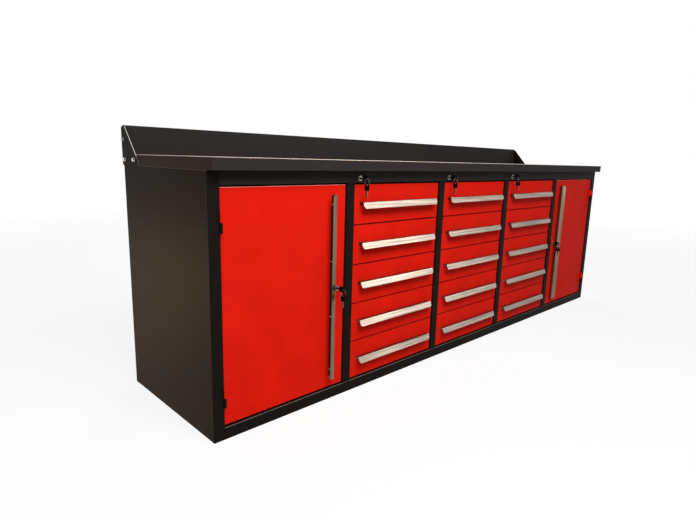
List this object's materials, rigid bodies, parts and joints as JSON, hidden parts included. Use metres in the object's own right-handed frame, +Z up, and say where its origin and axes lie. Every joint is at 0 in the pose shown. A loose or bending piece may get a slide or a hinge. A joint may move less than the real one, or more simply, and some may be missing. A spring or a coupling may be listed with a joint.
{
  "type": "workbench with drawers",
  "caption": "Long steel workbench with a cupboard at each end, banks of drawers between them, full-width strip handles, keyed locks and a low upstand behind the worktop.",
  "frame": {"origin": "middle of the bench's footprint, on the ground, measured over the keys in front and the bracket plates behind and at the ends", "axes": "+Z up, +X along the bench to the right seen from the front, +Y from the front to the back"},
  "size_m": [2.879, 0.6769, 1.012],
  "materials": {
    "red_powder_coat": "gloss",
    "black_powder_coat": "satin",
    "worktop_coat": "satin",
    "core_board": "matt particle board",
    "handle_stainless": "brushed",
    "lock_chrome": "polished",
    "zinc_plate": "zinc plated",
    "key_plastic": "matt"
  },
  "bodies": {
    "carcass": {"side_panel_left": "black_powder_coat", "side_panel_right": "black_powder_coat", "back_panel": "black_powder_coat", "floor_panel": "black_powder_coat", "top_rail": "black_powder_coat", "partitions": "black_powder_coat", "drawer_slides": "zinc_plate", "bank_lock_barrels": "lock_chrome", "shelves": "black_powder_coat", "worktop_skin": "worktop_coat", "worktop_core": "core_board", "upstand": "black_powder_coat", "upstand_brackets": "black_powder_coat", "upstand_bolts": "zinc_plate"},
    "door_left": {"door_left": "red_powder_coat", "door_handle_left": "handle_stainless", "door_lock_left": "lock_chrome"},
    "door_key_left": {"door_key_left": "key_plastic"},
    "door_spare_key_left": {"door_spare_key_left": "key_plastic"},
    "door_right": {"door_right": "red_powder_coat", "door_handle_right": "handle_stainless", "door_lock_right": "lock_chrome"},
    "door_key_right": {"door_key_right": "key_plastic"},
    "door_spare_key_right": {"door_spare_key_right": "key_plastic"},
    "bank_key_left": {"bank_key_left": "key_plastic"},
    "bank_spare_key_left": {"bank_spare_key_left": "key_plastic"},
    "drawer_left_1": {"drawer_left_1": "red_powder_coat", "handle_left_1": "handle_stainless"},
    "drawer_left_2": {"drawer_left_2": "red_powder_coat", "handle_left_2": "handle_stainless"},
    "drawer_left_3": {"drawer_left_3": "red_powder_coat", "handle_left_3": "handle_stainless"},
    "drawer_left_4": {"drawer_left_4": "red_powder_coat", "handle_left_4": "handle_stainless"},
    "drawer_left_5": {"drawer_left_5": "red_powder_coat", "handle_left_5": "handle_stainless"},
    "bank_key_middle": {"bank_key_middle": "key_plastic"},
    "bank_spare_key_middle": {"bank_spare_key_middle": "key_plastic"},
    "drawer_middle_1": {"drawer_middle_1": "red_powder_coat", "handle_middle_1": "handle_stainless"},
    "drawer_middle_2": {"drawer_middle_2": "red_powder_coat", "handle_middle_2": "handle_stainless"},
    "drawer_middle_3": {"drawer_middle_3": "red_powder_coat", "handle_middle_3": "handle_stainless"},
    "drawer_middle_4": {"drawer_middle_4": "red_powder_coat", "handle_middle_4": "handle_stainless"},
    "drawer_middle_5": {"drawer_middle_5": "red_powder_coat", "handle_middle_5": "handle_stainless"},
    "bank_key_right": {"bank_key_right": "key_plastic"},
    "bank_spare_key_right": {"bank_spare_key_right": "key_plastic"},
    "drawer_right_1": {"drawer_right_1": "red_powder_coat", "handle_right_1": "handle_stainless"},
    "drawer_right_2": {"drawer_right_2": "red_powder_coat", "handle_right_2": "handle_stainless"},
    "drawer_right_3": {"drawer_right_3": "red_powder_coat", "handle_right_3": "handle_stainless"},
    "drawer_right_4": {"drawer_right_4": "red_powder_coat", "handle_right_4": "handle_stainless"},
    "drawer_right_5": {"drawer_right_5": "red_powder_coat", "handle_right_5": "handle_stainless"}
  },
  "joints": [
    {"name": "door_left_hinge", "type": "hinge", "parent": "carcass", "child": "door_left", "pos_m": [-1.38875, -0.2943, 0.433], "axis": [0, 0, -1], "range_deg": [0, 180]},
    {"name": "door_right_hinge", "type": "hinge", "parent": "carcass", "child": "door_right", "pos_m": [1.38875, -0.2943, 0.433], "axis": [0, 0, 1], "range_deg": [0, 180]},
    {"name": "door_key_left_turn", "type": "hinge", "parent": "door_left", "child": "door_key_left", "pos_m": [-0.9035, -0.2835, 0.433], "axis": [0, 1, 0], "range_deg": [0, 90]},
    {"name": "door_spare_key_left_swing", "type": "hinge", "parent": "door_key_left", "child": "door_spare_key_left", "pos_m": [-0.9035, -0.3205, 0.433], "axis": [0, 1, 0], "range_deg": [-36, 0]},
    {"name": "door_key_right_turn", "type": "hinge", "parent": "door_right", "child": "door_key_right", "pos_m": [0.9035, -0.2835, 0.433], "axis": [0, 1, 0], "range_deg": [0, 90]},
    {"name": "door_spare_key_right_swing", "type": "hinge", "parent": "door_key_right", "child": "door_spare_key_right", "pos_m": [0.9035, -0.3205, 0.433], "axis": [0, 1, 0], "range_deg": [-36, 0]},
    {"name": "bank_key_left_turn", "type": "hinge", "parent": "carcass", "child": "bank_key_left", "pos_m": [-0.801, -0.2895, 0.841], "axis": [0, 1, 0], "range_deg": [0, 90]},
    {"name": "bank_spare_key_left_swing", "type": "hinge", "parent": "bank_key_left", "child": "bank_spare_key_left", "pos_m": [-0.801, -0.3265, 0.841], "axis": [0, 1, 0], "range_deg": [-36, 0]},
    {"name": "bank_key_middle_turn", "type": "hinge", "parent": "carcass", "child": "bank_key_middle", "pos_m": [-0.237, -0.2895, 0.841], "axis": [0, 1, 0], "range_deg": [0, 90]},
    {"name": "bank_spare_key_middle_swing", "type": "hinge", "parent": "bank_key_middle", "child": "bank_spare_key_middle", "pos_m": [-0.237, -0.3265, 0.841], "axis": [0, 1, 0], "range_deg": [-36, 0]},
    {"name": "bank_key_right_turn", "type": "hinge", "parent": "carcass", "child": "bank_key_right", "pos_m": [0.327, -0.2895, 0.841], "axis": [0, 1, 0], "range_deg": [0, 90]},
    {"name": "bank_spare_key_right_swing", "type": "hinge", "parent": "bank_key_right", "child": "bank_spare_key_right", "pos_m": [0.327, -0.3265, 0.841], "axis": [0, 1, 0], "range_deg": [-36, 0]},
    {"name": "drawer_left_1_slide", "type": "slide", "parent": "carcass", "child": "drawer_left_1", "axis": [0, -1, 0], "range_m": [0, 0.46]},
    {"name": "drawer_left_2_slide", "type": "slide", "parent": "carcass", "child": "drawer_left_2", "axis": [0, -1, 0], "range_m": [0, 0.46]},
    {"name": "drawer_left_3_slide", "type": "slide", "parent": "carcass", "child": "drawer_left_3", "axis": [0, -1, 0], "range_m": [0, 0.46]},
    {"name": "drawer_left_4_slide", "type": "slide", "parent": "carcass", "child": "drawer_left_4", "axis": [0, -1, 0], "range_m": [0, 0.46]},
    {"name": "drawer_left_5_slide", "type": "slide", "parent": "carcass", "child": "drawer_left_5", "axis": [0, -1, 0], "range_m": [0, 0.46]},
    {"name": "drawer_middle_1_slide", "type": "slide", "parent": "carcass", "child": "drawer_middle_1", "axis": [0, -1, 0], "range_m": [0, 0.46]},
    {"name": "drawer_middle_2_slide", "type": "slide", "parent": "carcass", "child": "drawer_middle_2", "axis": [0, -1, 0], "range_m": [0, 0.46]},
    {"name": "drawer_middle_3_slide", "type": "slide", "parent": "carcass", "child": "drawer_middle_3", "axis": [0, -1, 0], "range_m": [0, 0.46]},
    {"name": "drawer_middle_4_slide", "type": "slide", "parent": "carcass", "child": "drawer_middle_4", "axis": [0, -1, 0], "range_m": [0, 0.46]},
    {"name": "drawer_middle_5_slide", "type": "slide", "parent": "carcass", "child": "drawer_middle_5", "axis": [0, -1, 0], "range_m": [0, 0.46]},
    {"name": "drawer_right_1_slide", "type": "slide", "parent": "carcass", "child": "drawer_right_1", "axis": [0, -1, 0], "range_m": [0, 0.46]},
    {"name": "drawer_right_2_slide", "type": "slide", "parent": "carcass", "child": "drawer_right_2", "axis": [0, -1, 0], "range_m": [0, 0.46]},
    {"name": "drawer_right_3_slide", "type": "slide", "parent": "carcass", "child": "drawer_right_3", "axis": [0, -1, 0], "range_m": [0, 0.46]},
    {"name": "drawer_right_4_slide", "type": "slide", "parent": "carcass", "child": "drawer_right_4", "axis": [0, -1, 0], "range_m": [0, 0.46]},
    {"name": "drawer_right_5_slide", "type": "slide", "parent": "carcass", "child": "drawer_right_5", "axis": [0, -1, 0], "range_m": [0, 0.46]}
  ],
  "couplings": [
    {"joint": "door_spare_key_left_swing", "follows": "door_key_left_turn", "ratio": -0.4},
    {"joint": "door_spare_key_right_swing", "follows": "door_key_right_turn", "ratio": -0.4},
    {"joint": "bank_spare_key_left_swing", "follows": "bank_key_left_turn", "ratio": -0.4},
    {"joint": "bank_spare_key_middle_swing", "follows": "bank_key_middle_turn", "ratio": -0.4},
    {"joint": "bank_spare_key_right_swing", "follows": "bank_key_right_turn", "ratio": -0.4}
  ]
}
